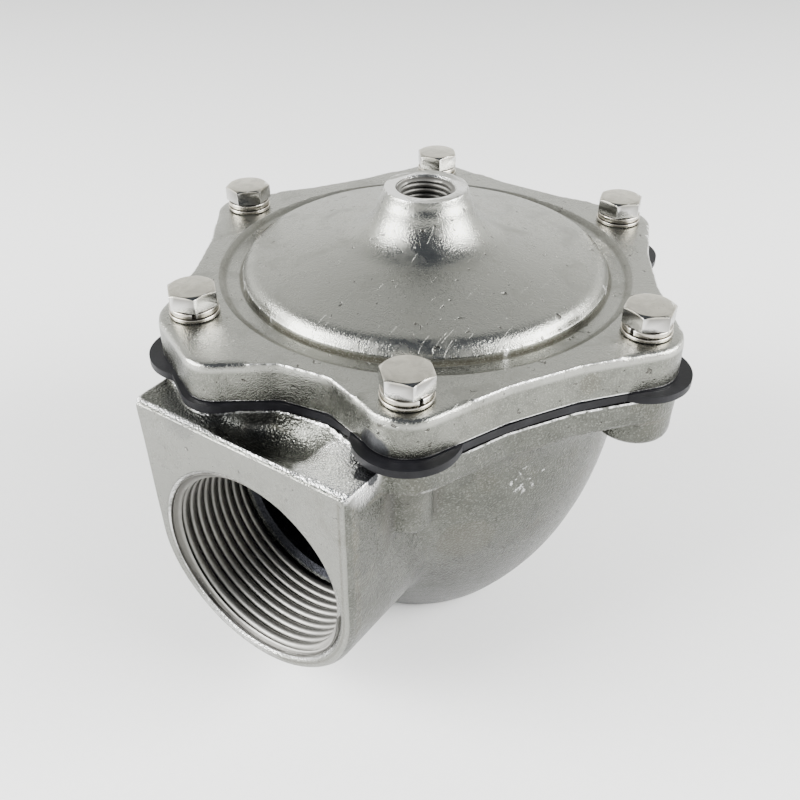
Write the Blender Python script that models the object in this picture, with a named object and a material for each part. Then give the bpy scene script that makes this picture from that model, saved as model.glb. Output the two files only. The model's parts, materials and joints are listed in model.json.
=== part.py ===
# Right-angle diaphragm pulse valve for a dust collector: cast body and cover, rubber diaphragm
# clamped between them by six bolts, threaded inlet on -Y, threaded outlet underneath, pilot
# port on top. The valve stands on its outlet face, with the valve axis on Z.
import math

import bmesh
import bpy
from mathutils import Matrix, Vector

MM = 0.001

# Driving sizes, all in millimetres and degrees
BOLT_ANGLES = (0, 60, 120, 180, 240, 300)
BOLT_D = 6.0
BOLT_LENGTH = 20.0
BOLT_AF = 10.0
HEAD_H = 3.8
HEX_TURNS = (38.5, 46.0, 10.0, 43.5, 19.0, 16.0)
SPLIT_TURNS = (250, 40, 130, 200, 310, 330)

GAP = 0.3
STACK_GAP = 0.2
SHANK_CLEARANCE = 0.3

# Heights follow from the inlet's axis: flange above it, everything else from the flange
BORE_Z = 37.4
FLANGE_TOP = BORE_Z + 34.9
FLANGE_T = 6.5
UNDER_FLANGE = FLANGE_TOP - FLANGE_T
RUBBER_T = 1.8
COVER_FLANGE_T = 8.9
FLAT_WASHER = (3.3, 5.5, 0.8)
SPRING_WASHER = (3.3, 5.3, 1.2)

# Pipe threads of inlet and outlet: root radius, the fine ridges aren't cut
PIPE_ROOT_R = 23.9
PIPE_MOUTH_R = PIPE_ROOT_R + 0.5
INLET_THREAD = 24.0
OUTLET_THREAD = 19.0
THREAD_SHOULDER = 1.7

# Seat tube above the outlet, the chamber round it and the bowl round them
SEAT_SHOULDER = 2.7
TUBE_WALL = 4.2
TUBE_FLARE = 2.8
CHAMBER_WIDTH = 16.4
CHAMBER_WALL = 5.8
TUBE_R = PIPE_ROOT_R - SEAT_SHOULDER
TUBE_OUTER_R = TUBE_R + TUBE_WALL
TUBE_FOOT_R = TUBE_OUTER_R + TUBE_FLARE
CHAMBER_R = TUBE_FOOT_R + CHAMBER_WIDTH
CHAMBER_FLOOR = 13.5
BOWL_R = CHAMBER_R + CHAMBER_WALL
BOWL_ARC_R = 94.3
BOWL_ARC_Z = UNDER_FLANGE - 7.05
BOWL_SHIFT_Y = -2.8
BOWL_FLARE = ((BOWL_R + 1.9, 0.0), (BOWL_R + 1.0, 2.3), (BOWL_R + 0.4, 4.8))
SEAT_Z = FLANGE_TOP - 6.3
SEAT_LIP_EASE = 1.2

# Plan of the flanges: a lobe at each bolt, slightly hollow sides, and a cast lug beside one lobe
BOLT_CIRCLE_R = BOWL_R + 5.6
LOBE_INWARD = 1.2
SIDE_INWARD = 2.4
LOBE_AT = BOLT_CIRCLE_R - LOBE_INWARD
LOBE_R = 9.25
SIDE_R = BOLT_CIRCLE_R - SIDE_INWARD
LUG = (-14.5, -BOLT_CIRCLE_R - 0.2, 7.1)
LUG_LOBE = 4
LUG_FILLETS = (200.0, 25.0)
BODY_GROW = (0.5, 0.3, 0.3)
RUBBER_GROW = (0.5, 0.4, 1.3)
RUBBER_EAR_R = 11.2

# Inlet block
PIPE_WALL = 4.0
BLOCK_HALF = PIPE_ROOT_R + PIPE_WALL
BLOCK_DRAFT = 1.6
BLOCK_FRONT = -BOLT_CIRCLE_R - 12.0
BLOCK_TOP = FLANGE_TOP - 0.9
BLOCK_EDGE = 2.0
SMOOTH_BORE_R = PIPE_ROOT_R - THREAD_SHOULDER
SCOOP = (3.0, BLOCK_FRONT + 8.5, BLOCK_TOP + 2.1)
SCOOP_HALF = (14.5, 7.5, 6.2)

# Bolt bosses under the flange, long ones beside the block: radius, foot height, foot rounding
LONG_BOSSES = (4, 5)
LONG_BOSS = (5.7, UNDER_FLANGE - 13.3, 1.0)
SHORT_BOSS = (8.45, UNDER_FLANGE - 6.7, 1.8)
BOLT_HOLE_Z = UNDER_FLANGE - 1.8

# Return spring
SPRING_R = 12.0
SPRING_WIRE = 1.4
SPRING_TURNS = 4.0
SPRING_END_PITCH = SPRING_WIRE + 0.2
SPRING_PLAY = 2.1

# Cover: shallow dome, shoulder, groove at its foot, flare up to the pilot boss
COVER_TOP = FLANGE_TOP + 2 * GAP + RUBBER_T + COVER_FLANGE_T
DOME_R = CHAMBER_R - 1.2
SHOULDER_R = 4.5
DOME_SLOPE = 11.0
FLARE_R = 11.4
FLARE_AT = (22.0, COVER_TOP + 18.4)
FLARE_END = 12.0
PILOT_BOSS_R = 9.75
PILOT_TOP = COVER_TOP + 19.1
PILOT_ROOT_R = 6.58
PILOT_THREAD = 12.0
PILOT_HOLE_R = 4.2
GROOVE = (DOME_R + 4.4, DOME_R + 5.4, 1.0)
COVER_WALL = 4.2
SPRING_POCKET_R = SPRING_R + SPRING_WIRE / 2 + SPRING_PLAY
SPRING_POCKET_Z = COVER_TOP + 6.4

# Diaphragm and its centre assembly
SEAT_OVERLAP = 3.3
SEAT_DISC = (TUBE_R + SEAT_OVERLAP, 3.5)
MEMBRANE_T = 1.5
MEMBRANE_FLAT_R = SEAT_DISC[0] + 2.5
MEMBRANE_EDGE_R = CHAMBER_R - 1.6
BLEED_R = 1.0
BLEED_AT = 35.0
BACKING = (SPRING_R + 7.0, 1.5)
NUT_H = 3.0
SCREW_HEAD_H = 4.0
SCREW_ABOVE_NUT = 1.4

ROUND = 48
SMALL_ROUND = 24

RUBBER_Z = FLANGE_TOP + GAP
COVER_Z = RUBBER_Z + RUBBER_T + GAP
FLAT_WASHER_Z = COVER_TOP + STACK_GAP
SPRING_WASHER_Z = FLAT_WASHER_Z + FLAT_WASHER[2] + STACK_GAP
HEAD_Z = SPRING_WASHER_Z + SPRING_WASHER[2] + STACK_GAP
HOLE_R = BOLT_D / 2 + SHANK_CLEARANCE
DISC_Z = SEAT_Z + GAP
MEMBRANE_Z = DISC_Z + SEAT_DISC[1] + GAP
BACKING_Z = MEMBRANE_Z + MEMBRANE_T + GAP
NUT_Z = BACKING_Z + BACKING[1] + GAP


# Drawing helpers
def arc(cx, cy, radius, start, end, steps):
    """Points on an arc in degrees, both ends included."""
    turns = [math.radians(start + (end - start) * i / steps) for i in range(steps + 1)]
    return [(cx + radius * math.cos(t), cy + radius * math.sin(t)) for t in turns]


def add(name, mesh_builder):
    """Turns a bmesh into an object of that name, normals facing out."""
    bmesh.ops.remove_doubles(mesh_builder, verts=mesh_builder.verts, dist=1e-7)
    bmesh.ops.recalc_face_normals(mesh_builder, faces=mesh_builder.faces)
    mesh = bpy.data.meshes.new(name)
    mesh_builder.to_mesh(mesh)
    mesh_builder.free()
    obj = bpy.data.objects.new(name, mesh)
    bpy.context.scene.collection.objects.link(obj)
    return obj


def revolve(name, profile, segments=ROUND, sweep=360.0):
    """Spins a closed (radius, height) outline round Z; a sweep under a full turn gets end caps."""
    bm = bmesh.new()
    corners = [bm.verts.new((r * MM, 0, z * MM)) for r, z in profile]
    if sweep < 360:
        geometry = [bm.faces.new(corners)]
    else:
        pairs = zip(corners, corners[1:] + corners[:1])
        geometry = [bm.edges.new(p) for p in pairs if p[0].co.x + p[1].co.x > 1e-7]
        geometry += corners
    bmesh.ops.spin(
        bm,
        geom=geometry,
        cent=(0, 0, 0),
        axis=(0, 0, 1),
        angle=math.radians(sweep),
        steps=segments,
        use_merge=sweep >= 360,
    )
    return add(name, bm)


def prism(name, outline, low, high, eased=0.0):
    """Extrudes a flat outline from low to high, with an eased upper edge."""
    bm = bmesh.new()
    face = bm.faces.new([bm.verts.new((x * MM, y * MM, low * MM)) for x, y in outline])
    raised = bmesh.ops.extrude_face_region(bm, geom=[face])["geom"]
    top = [v for v in raised if isinstance(v, bmesh.types.BMVert)]
    bmesh.ops.translate(bm, verts=top, vec=(0, 0, (high - low) * MM))
    if eased:
        rim = [e for e in bm.edges if all(v in set(top) for v in e.verts)]
        bmesh.ops.bevel(bm, geom=rim, offset=eased * MM, segments=1, affect="EDGES")
    return add(name, bm)


def combine(target, tool, operation):
    """Joins, cuts or intersects target with tool, then drops the tool."""
    modifier = target.modifiers.new(tool.name, "BOOLEAN")
    modifier.operation = operation
    modifier.solver = "EXACT"
    modifier.object = tool
    with bpy.context.temp_override(object=target, active_object=target):
        bpy.ops.object.modifier_apply(modifier=modifier.name)
    bpy.data.objects.remove(tool)
    bm = bmesh.new()
    bm.from_mesh(target.data)
    bmesh.ops.remove_doubles(bm, verts=bm.verts, dist=2e-6)
    bm.to_mesh(target.data)
    bm.free()


def place(obj, at=(0, 0, 0), turn=0.0):
    obj.location = Vector(at) * MM
    obj.rotation_euler = (0, 0, math.radians(turn))
    return obj


def on_bolt(angle):
    turn = math.radians(angle)
    return BOLT_CIRCLE_R * math.cos(turn), BOLT_CIRCLE_R * math.sin(turn)


def bore(target, radius, low, high, at=(0, 0), segments=SMALL_ROUND):
    """Drills a straight round hole along Z."""
    tool = revolve("bore", [(0, low), (radius, low), (radius, high), (0, high)], segments)
    place(tool, (at[0], at[1], 0))
    combine(target, tool, "DIFFERENCE")


def finish(obj, material, sharp=35.0):
    obj.data.materials.clear()
    obj.data.materials.append(material)
    for face in obj.data.polygons:
        face.use_smooth = True
    obj.data.set_sharp_from_angle(angle=math.radians(sharp))
    return obj


def principled(name, colour, roughness, metallic):
    material = bpy.data.materials.new(name)
    material.use_nodes = True
    shader = material.node_tree.nodes["Principled BSDF"]
    shader.inputs["Base Color"].default_value = (*colour, 1)
    shader.inputs["Roughness"].default_value = roughness
    shader.inputs["Metallic"].default_value = metallic
    return material


# Plan outline: convex circles joined by hollow arcs that touch both of them
def plan(lobe_grow=0.0, side_grow=0.0, lug_grow=0.0):
    lobe_r = LOBE_R + lobe_grow
    reach = SIDE_R + side_grow - LOBE_AT * math.cos(math.radians(30))
    half = LOBE_AT * math.sin(math.radians(30))
    hollow = (reach**2 + half**2 - lobe_r**2) / (2 * (lobe_r - reach))
    circles, hollows = [], []
    for i, angle in enumerate(BOLT_ANGLES):
        turn = math.radians(angle)
        circles.append((LOBE_AT * math.cos(turn), LOBE_AT * math.sin(turn), lobe_r))
        hollows.append(hollow)
        if i == LUG_LOBE:
            hollows[-1] = LUG_FILLETS[0]
            circles.append((LUG[0], LUG[1], LUG[2] + lug_grow))
            hollows.append(LUG_FILLETS[1] - lug_grow)
    centres = []
    for (x1, y1, r1), (x2, y2, r2), hollow_r in zip(circles, circles[1:] + circles[:1], hollows):
        near, far = r1 + hollow_r, r2 + hollow_r
        span = math.hypot(x2 - x1, y2 - y1)
        ux, uy = (x2 - x1) / span, (y2 - y1) / span
        along = (near**2 - far**2 + span**2) / (2 * span)
        off = math.sqrt(near**2 - along**2)
        centres.append((x1 + along * ux + off * uy, y1 + along * uy - off * ux))
    points = []
    for i, (x, y, radius) in enumerate(circles):
        (px, py), (nx, ny) = centres[i - 1], centres[i]
        start = math.degrees(math.atan2(py - y, px - x))
        end = math.degrees(math.atan2(ny - y, nx - x))
        end += 360 if end < start else 0
        points += arc(x, y, radius, start, end, max(4, round((end - start) / 15)))
        x2, y2, _ = circles[(i + 1) % len(circles)]
        start = math.degrees(math.atan2(y - ny, x - nx))
        end = math.degrees(math.atan2(y2 - ny, x2 - nx))
        end -= 360 if end > start else 0
        points += arc(nx, ny, hollows[i], start, end, 3)[1:-1]
    return points


# Body: one casting
def bowl_radius(z, inset=0.0):
    return math.sqrt(BOWL_ARC_R**2 - (z - BOWL_ARC_Z) ** 2) - (BOWL_ARC_R - BOWL_R) - inset


def build_body(material):
    # Inlet block: U-shaped section, upright front corners rounded, hollow scooped into its top
    bend = arc(0, BORE_Z, BLOCK_HALF, 0, -180, 28)
    section = [(BLOCK_HALF, BLOCK_TOP)] + bend + [(-BLOCK_HALF - BLOCK_DRAFT, BLOCK_TOP)]
    body = prism("valve_body", [(x, -z) for x, z in section], BLOCK_FRONT, -12.0)
    body.data.transform(Matrix.Rotation(math.radians(-90), 4, "X"))
    bm = bmesh.new()
    bm.from_mesh(body.data)
    front = (BLOCK_FRONT + 0.1) * MM
    rim = [
        e
        for e in bm.edges
        if all(v.co.y < front for v in e.verts)
        and any(v.co.z < (BLOCK_TOP - 0.1) * MM for v in e.verts)
    ]
    bmesh.ops.bevel(bm, geom=rim, offset=BLOCK_EDGE * MM, segments=3, affect="EDGES")
    bm.to_mesh(body.data)
    bm.free()
    ball = revolve("scoop", [(0, -1)] + arc(0, 0, 1, -75, 75, 10) + [(0, 1)], 36)
    ball.data.transform(Matrix.Diagonal((*SCOOP_HALF, 1)))
    place(ball, SCOOP)
    combine(body, ball, "DIFFERENCE")

    # Bowl turned about the valve axis, set a little towards the inlet
    levels = [BOWL_ARC_Z - BOWL_ARC_Z * i / 8 for i in range(9)]
    outer = [(r, UNDER_FLANGE - z) for r, z in BOWL_FLARE] + [(bowl_radius(z), z) for z in levels]
    top = UNDER_FLANGE + 1.5
    bowl = revolve("bowl", [(0, top), (BOWL_FLARE[0][0], top)] + outer + [(0, 0)])
    combine(body, place(bowl, (0, BOWL_SHIFT_Y, 0)), "UNION")

    # Lobed flange and the bosses that take the bolts
    combine(body, prism("flange", plan(*BODY_GROW), UNDER_FLANGE, FLANGE_TOP, 0.3), "UNION")
    for i, angle in enumerate(BOLT_ANGLES):
        radius, low, ease = LONG_BOSS if i in LONG_BOSSES else SHORT_BOSS
        top = UNDER_FLANGE + 1
        foot = arc(radius - ease, low + ease, ease, -90, 0, 3)
        boss = revolve("boss", [(0, low)] + foot + [(radius, top), (0, top)], SMALL_ROUND + 8)
        combine(body, place(boss, (*on_bolt(angle), 0)), "UNION")

    # Chamber round the seat tube, open at the flange
    levels = [CHAMBER_FLOOR + 3 + (BOWL_ARC_Z - CHAMBER_FLOOR - 3) * i / 6 for i in range(7)]
    wall = [(bowl_radius(z, CHAMBER_WALL), z) for z in levels]
    chamber = [(TUBE_FOOT_R + 1.0, CHAMBER_FLOOR), (wall[0][0] - 2.4, CHAMBER_FLOOR)] + wall
    chamber += [(CHAMBER_R, FLANGE_TOP + 5), (0, FLANGE_TOP + 5), (0, SEAT_Z)]
    chamber += [(TUBE_OUTER_R - SEAT_LIP_EASE, SEAT_Z), (TUBE_OUTER_R, SEAT_Z - SEAT_LIP_EASE)]
    chamber += [(TUBE_OUTER_R, CHAMBER_FLOOR + 12), (TUBE_FOOT_R, CHAMBER_FLOOR + 1.5)]
    combine(body, revolve("chamber", chamber), "DIFFERENCE")

    # Inlet: mouth, thread root, step, smooth bore into the chamber
    ease = PIPE_MOUTH_R - PIPE_ROOT_R
    end = -TUBE_OUTER_R - 5
    mouth = -BLOCK_FRONT
    inlet = [(0, mouth + 1), (PIPE_MOUTH_R + 1, mouth + 1), (PIPE_ROOT_R, mouth - ease)]
    inlet += [(PIPE_ROOT_R, mouth - INLET_THREAD)]
    inlet += [(SMOOTH_BORE_R, mouth - INLET_THREAD - PIPE_ROOT_R + SMOOTH_BORE_R)]
    inlet += [(SMOOTH_BORE_R, -end), (0, -end)]
    tool = revolve("inlet", inlet)
    tool.data.transform(Matrix.Rotation(math.radians(90), 4, "X"))
    combine(body, place(tool, (0, 0, BORE_Z)), "DIFFERENCE")

    # Outlet: thread root from below, then the seat tube's bore, eased at the seat
    outlet = [(0, -1), (PIPE_MOUTH_R + 1, -1), (PIPE_ROOT_R, ease), (PIPE_ROOT_R, OUTLET_THREAD)]
    outlet += [(TUBE_R, OUTLET_THREAD + PIPE_ROOT_R - TUBE_R), (TUBE_R, SEAT_Z - SEAT_LIP_EASE)]
    outlet += [(TUBE_R + SEAT_LIP_EASE + 1, SEAT_Z + 1), (0, SEAT_Z + 1)]
    combine(body, revolve("outlet", outlet), "DIFFERENCE")

    for angle in BOLT_ANGLES:
        bore(body, HOLE_R, BOLT_HOLE_Z, FLANGE_TOP + 1, on_bolt(angle))
    return finish(body, material)


# Cover: one casting
def build_cover(material):
    cover = prism("cover", plan(), COVER_Z, COVER_TOP, 0.7)
    foot, rim, deep = GROOVE
    ring = [(DOME_R - 1.5, COVER_TOP - deep), (foot, COVER_TOP - deep), (rim, COVER_TOP)]
    ring += [(rim + 0.5, COVER_TOP + 0.5), (DOME_R - 1.5, COVER_TOP + 0.5)]
    combine(cover, revolve("groove", ring), "DIFFERENCE")

    # Dome outline from the groove: shoulder, shallow cone, flare, pilot boss
    shoulder_x = DOME_R - 0.2 - SHOULDER_R
    slope = math.radians(DOME_SLOPE)
    flare_foot = (FLARE_AT[0] - FLARE_R * math.sin(slope), FLARE_AT[1] - FLARE_R * math.cos(slope))
    tangent = shoulder_x + SHOULDER_R * math.sin(slope)
    rise = (tangent - flare_foot[0]) * math.tan(slope)
    shoulder_z = flare_foot[1] - rise - SHOULDER_R * math.cos(slope)
    dome = [(0, COVER_Z + 1), (DOME_R, COVER_Z + 1), (DOME_R, COVER_TOP - deep - 0.5)]
    dome += arc(shoulder_x, shoulder_z, SHOULDER_R, 8, 90 - DOME_SLOPE, 4)
    dome += arc(*FLARE_AT, FLARE_R, 270 - DOME_SLOPE, 180 + FLARE_END, 6)
    dome += [(PILOT_BOSS_R + 0.25, FLARE_AT[1] - 0.9), (PILOT_BOSS_R, PILOT_TOP - 0.4)]
    dome += [(PILOT_BOSS_R - 0.4, PILOT_TOP), (0, PILOT_TOP)]
    combine(cover, revolve("dome", dome), "UNION")

    # Inside: dome cavity with the spring's pocket, open below
    inner_x = DOME_R - COVER_WALL
    inner_r = SHOULDER_R
    cone_z = shoulder_z + SHOULDER_R * math.cos(slope) - COVER_WALL
    cavity = [(0, COVER_Z - 1), (inner_x + 2.5, COVER_Z - 1), (inner_x + 2.5, COVER_Z)]
    cavity += arc(inner_x - inner_r, cone_z - inner_r, inner_r, 20, 90 - DOME_SLOPE, 3)
    cone_top = cone_z + (inner_x - inner_r - SPRING_POCKET_R) * math.tan(slope)
    cavity += [(SPRING_POCKET_R + 0.6, cone_top), (SPRING_POCKET_R, cone_top + 0.6)]
    cavity += [(SPRING_POCKET_R, SPRING_POCKET_Z), (0, SPRING_POCKET_Z)]
    combine(cover, revolve("cavity", cavity), "DIFFERENCE")

    # Pilot port
    port = [(0, SPRING_POCKET_Z - 1), (PILOT_HOLE_R, SPRING_POCKET_Z - 1)]
    step = PILOT_TOP - PILOT_THREAD
    port += [(PILOT_HOLE_R, step - PILOT_ROOT_R + PILOT_HOLE_R + 1.4), (PILOT_ROOT_R, step + 1.4)]
    port += [(PILOT_ROOT_R, PILOT_TOP - 0.4), (PILOT_ROOT_R + 1.4, PILOT_TOP + 1), (0, PILOT_TOP + 1)]
    combine(cover, revolve("port", port, 40), "DIFFERENCE")
    for angle in BOLT_ANGLES:
        bore(cover, HOLE_R, COVER_Z - 1, COVER_TOP + 1, on_bolt(angle))
    return finish(cover, material)


# Diaphragm: flat clamped rim with lobes, and a dished membrane down to the centre
def build_diaphragm(material):
    rubber = prism("diaphragm", plan(*RUBBER_GROW), RUBBER_Z, RUBBER_Z + RUBBER_T)
    for angle in BOLT_ANGLES:
        ear = [(0, 0.1), (RUBBER_EAR_R, 0.1), (RUBBER_EAR_R, RUBBER_T - 0.1), (0, RUBBER_T - 0.1)]
        ear = revolve("ear", [(r, RUBBER_Z + z) for r, z in ear], SMALL_ROUND + 8)
        combine(rubber, place(ear, (*on_bolt(angle), 0)), "UNION")
    bore(rubber, MEMBRANE_EDGE_R + 1.5, RUBBER_Z - 1, RUBBER_Z + RUBBER_T + 1, segments=ROUND)
    middle = RUBBER_Z + RUBBER_T / 2
    thin = MEMBRANE_T / 2
    drop = middle - (MEMBRANE_Z + thin)
    fall = [
        (
            MEMBRANE_EDGE_R - (MEMBRANE_EDGE_R - MEMBRANE_FLAT_R) * i / 6,
            middle - drop * (1 - math.cos(math.pi * i / 6)) / 2,
        )
        for i in range(7)
    ]
    line = [(MEMBRANE_EDGE_R + 3, middle)] + fall + [(HOLE_R, middle - drop)]
    upper = [(r, z + thin) for r, z in line]
    lower = [(r, z - thin) for r, z in reversed(line)]
    combine(rubber, revolve("membrane", upper + lower), "UNION")
    for angle in BOLT_ANGLES:
        bore(rubber, HOLE_R, RUBBER_Z - 1, RUBBER_Z + RUBBER_T + 1, on_bolt(angle))
    bore(rubber, BLEED_R, MEMBRANE_Z - 2, RUBBER_Z + RUBBER_T + 1, (0, BLEED_AT), 16)
    return finish(rubber, material)


# Hexagon pieces: a turned blank trimmed by a hexagonal prism
def hexed(name, blank, low, high, across_flats):
    corner = across_flats / 2 / math.cos(math.radians(30))
    hexagon = arc(0, 0, corner, 0, 300, 5)
    obj = revolve(name, blank, SMALL_ROUND)
    combine(obj, prism("hexagon", hexagon, low - 1, high + 1), "INTERSECT")
    return obj


def build_bolt():
    shank = BOLT_D / 2
    corner = BOLT_AF / 2 / math.cos(math.radians(30)) + 0.05
    top = HEAD_Z + HEAD_H
    tip = HEAD_Z - BOLT_LENGTH
    blank = [(0, tip), (shank - 0.8, tip), (shank, tip + 0.8), (shank, HEAD_Z)]
    blank += [(corner, HEAD_Z), (corner, top - 0.75), (BOLT_AF / 2 - 0.45, top), (0, top)]
    return hexed("bolt", blank, tip, top, BOLT_AF)


def build_washer(sizes, low, sweep=360.0):
    inner, outer, thick = sizes
    ease = 0.2
    section = [(inner, low), (outer - ease, low), (outer, low + ease), (outer, low + thick - ease)]
    section += [(outer - ease, low + thick), (inner, low + thick)]
    return revolve("washer", section, SMALL_ROUND, sweep)


def copies(stem, source, turns, material):
    finish(source, material)
    for i, angle in enumerate(BOLT_ANGLES):
        obj = bpy.data.objects.new(f"{stem}_{i + 1}", source.data)
        bpy.context.scene.collection.objects.link(obj)
        place(obj, (*on_bolt(angle), 0), turns[i])
    source.data.name = stem
    bpy.data.objects.remove(source)


# Centre assembly that the pressure lifts off the seat
def build_centre(steel, nylon):
    shank = BOLT_D / 2
    corner = BOLT_AF / 2 / math.cos(math.radians(30)) + 0.05
    wide, thick = SEAT_DISC
    disc = [(HOLE_R, DISC_Z), (wide - 0.6, DISC_Z), (wide, DISC_Z + 0.6)]
    disc += [(wide, DISC_Z + thick - 0.6), (wide - 0.6, DISC_Z + thick), (HOLE_R, DISC_Z + thick)]
    finish(revolve("seat_disc", disc), nylon)

    wide, thick = BACKING
    plate = [(HOLE_R, BACKING_Z), (wide - 0.3, BACKING_Z), (wide, BACKING_Z + 0.3)]
    plate += [(wide, BACKING_Z + thick), (HOLE_R, BACKING_Z + thick)]
    finish(revolve("backing_plate", plate), steel)

    low = SEAT_Z - SCREW_HEAD_H
    tip = NUT_Z + NUT_H + SCREW_ABOVE_NUT
    blank = [(0, low), (BOLT_AF / 2 - 0.45, low), (corner, low + 0.75), (corner, SEAT_Z)]
    blank += [(shank, SEAT_Z), (shank, tip - 0.8), (shank - 0.8, tip), (0, tip)]
    finish(hexed("centre_screw", blank, low, tip, BOLT_AF), steel)

    top = NUT_Z + NUT_H
    blank = [(HOLE_R, NUT_Z), (BOLT_AF / 2, NUT_Z), (corner, NUT_Z + 0.6), (corner, top - 0.6)]
    blank += [(BOLT_AF / 2, top), (HOLE_R, top)]
    finish(hexed("centre_nut", blank, NUT_Z, top, BOLT_AF), steel)


# Return spring between the backing plate and the cover, end coils closed up
def build_spring(material):
    low = BACKING_Z + BACKING[1] + GAP + SPRING_WIRE / 2
    high = SPRING_POCKET_Z - GAP - SPRING_WIRE / 2
    open_pitch = (high - low - 2 * SPRING_END_PITCH) / (SPRING_TURNS - 2)
    per_turn = 20
    curve = bpy.data.curves.new("return_spring", "CURVE")
    curve.dimensions = "3D"
    curve.bevel_depth = SPRING_WIRE / 2 * MM
    curve.bevel_resolution = 1
    curve.use_fill_caps = True
    steps = round(SPRING_TURNS * per_turn)
    spline = curve.splines.new("POLY")
    spline.points.add(steps)
    for i in range(steps + 1):
        turn = i / per_turn
        closed = min(turn, 1) + max(turn - SPRING_TURNS + 1, 0)
        z = low + closed * SPRING_END_PITCH + (turn - closed) * open_pitch
        x = SPRING_R * math.cos(2 * math.pi * turn)
        y = SPRING_R * math.sin(2 * math.pi * turn)
        spline.points[i].co = (x * MM, y * MM, z * MM, 1)
    obj = bpy.data.objects.new("return_spring", curve)
    bpy.context.scene.collection.objects.link(obj)
    curve.materials.append(material)


for old in list(bpy.data.objects):
    bpy.data.objects.remove(old)

cast = principled("cast_aluminium", (0.55, 0.54, 0.51), 0.38, 1.0)
plated = principled("bright_plated_steel", (0.66, 0.63, 0.57), 0.22, 1.0)
spring_steel = principled("spring_steel", (0.45, 0.45, 0.46), 0.3, 1.0)
rubber = principled("black_rubber", (0.02, 0.02, 0.022), 0.55, 0.0)
nylon = principled("dark_nylon", (0.04, 0.04, 0.045), 0.5, 0.0)

build_body(cast)
build_cover(cast)
build_diaphragm(rubber)
build_centre(plated, nylon)
build_spring(spring_steel)
copies("bolt", build_bolt(), HEX_TURNS, plated)
copies("spring_washer", build_washer(SPRING_WASHER, SPRING_WASHER_Z, 352.0), SPLIT_TURNS, plated)
copies("flat_washer", build_washer(FLAT_WASHER, FLAT_WASHER_Z), (0,) * 6, plated)
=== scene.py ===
import json
import math

import bpy
import numpy as np
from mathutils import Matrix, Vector

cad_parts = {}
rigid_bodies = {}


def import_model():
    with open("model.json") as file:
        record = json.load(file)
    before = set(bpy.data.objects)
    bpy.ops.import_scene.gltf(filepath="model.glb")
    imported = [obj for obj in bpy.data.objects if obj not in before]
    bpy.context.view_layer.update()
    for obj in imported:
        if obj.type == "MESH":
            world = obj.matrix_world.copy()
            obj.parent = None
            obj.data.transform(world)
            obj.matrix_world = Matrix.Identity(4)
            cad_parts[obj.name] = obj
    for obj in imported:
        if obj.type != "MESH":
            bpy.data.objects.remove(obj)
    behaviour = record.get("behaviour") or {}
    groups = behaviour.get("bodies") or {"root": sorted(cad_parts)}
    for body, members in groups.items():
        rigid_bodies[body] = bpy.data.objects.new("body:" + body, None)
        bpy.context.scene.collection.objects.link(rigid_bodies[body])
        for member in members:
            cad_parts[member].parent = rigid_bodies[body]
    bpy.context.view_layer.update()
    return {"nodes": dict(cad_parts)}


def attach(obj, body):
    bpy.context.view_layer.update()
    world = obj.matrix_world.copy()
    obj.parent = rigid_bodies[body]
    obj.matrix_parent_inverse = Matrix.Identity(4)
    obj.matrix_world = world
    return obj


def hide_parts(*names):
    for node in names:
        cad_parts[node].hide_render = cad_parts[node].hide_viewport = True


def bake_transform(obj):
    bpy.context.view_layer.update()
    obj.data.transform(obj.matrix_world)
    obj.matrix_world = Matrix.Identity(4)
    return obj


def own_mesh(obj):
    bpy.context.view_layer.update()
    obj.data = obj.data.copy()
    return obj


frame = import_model()


# Cover: one aluminium casting, tumbled, with a lobed flange, a groove at the foot of its shallow
# dome and a boss for the pilot line. Its seat, pilot port and bolt holes are machined afterwards.
MM = 0.001  # sizes are in millimetres
BOLT_CIRCLE_R = 56.0
BOLT_ANGLES = (0, 60, 120, 180, 240, 300)
BOLT_HOLE_R = 3.3
LOBE_AT = 54.8
LOBE_R = 9.25
SIDE_R = 53.6
LUG = (-14.5, -56.2, 7.1)  # x, y, radius
LUG_LOBE = 4
LUG_FILLETS = (200.0, 25.0)  # radii of the hollows before and after it
COVER_LOW = 74.7
COVER_TOP = 83.6
DOME_R = 43.4
DOME_SLOPE = 11.0
# Each arc of the section: how far out and how high its centre is, then its radius.
SHOULDER = (38.7, 82.55, 4.5)
FLARE = (22.0, 102.0, 11.4)
CAVITY_CORNER = (34.7, 78.27, 4.5)
PILOT_BOSS_R = 9.75
PILOT_TOP = 102.7
PILOT_ROOT_R = 6.58
PILOT_FOOT = 92.1
PILOT_BORE = (4.2, 89.0)  # radius, lower end
CAVITY_R = 41.7
SPRING_POCKET = (14.8, 90.0)  # radius, top
# The groove's section: outwards from the dome, and down from the flange.
GROOVE = ((-0.3, 1.0), (0.3, 1.1), (1.0, 1.1), (1.8, 1.1), (2.6, 1.1), (3.3, 1.05))
GROOVE += ((3.9, 0.9), (4.5, 0.6), (5.0, 0.25), (5.4, -0.1), (5.8, -0.9))
CAST_VOXEL = 0.44  # fineness of the cast skin
TUMBLING = 5  # rounds of smoothing
# Fresh metal: the body's machined face, and painted light on the cover's upper faces.
FRESH_AND_LIT_METAL = (0.28, 0.282, 0.258)
# Bright metal: worn edges, and painted highlights on the body's block top and flange edge.
WORN_AND_LIT_METAL = (0.86, 0.86, 0.85)
# Soil colour: real dirt, and painted shade in hollows and under the flange.
SOIL_AND_SHADE = (0.07, 0.067, 0.05)
PIT_SHADE = (0.05, 0.045, 0.04)
# Near black: painted shadows, shade and dark reflections, with some grime.
SHADE_AND_GRIME = (0.03, 0.031, 0.036)


def arc(cx, cy, radius, start, end, steps):
    """Points on an arc in degrees, both ends included."""
    turns = [math.radians(start + (end - start) * i / steps) for i in range(steps + 1)]
    return [(cx + radius * math.cos(t), cy + radius * math.sin(t)) for t in turns]


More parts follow.
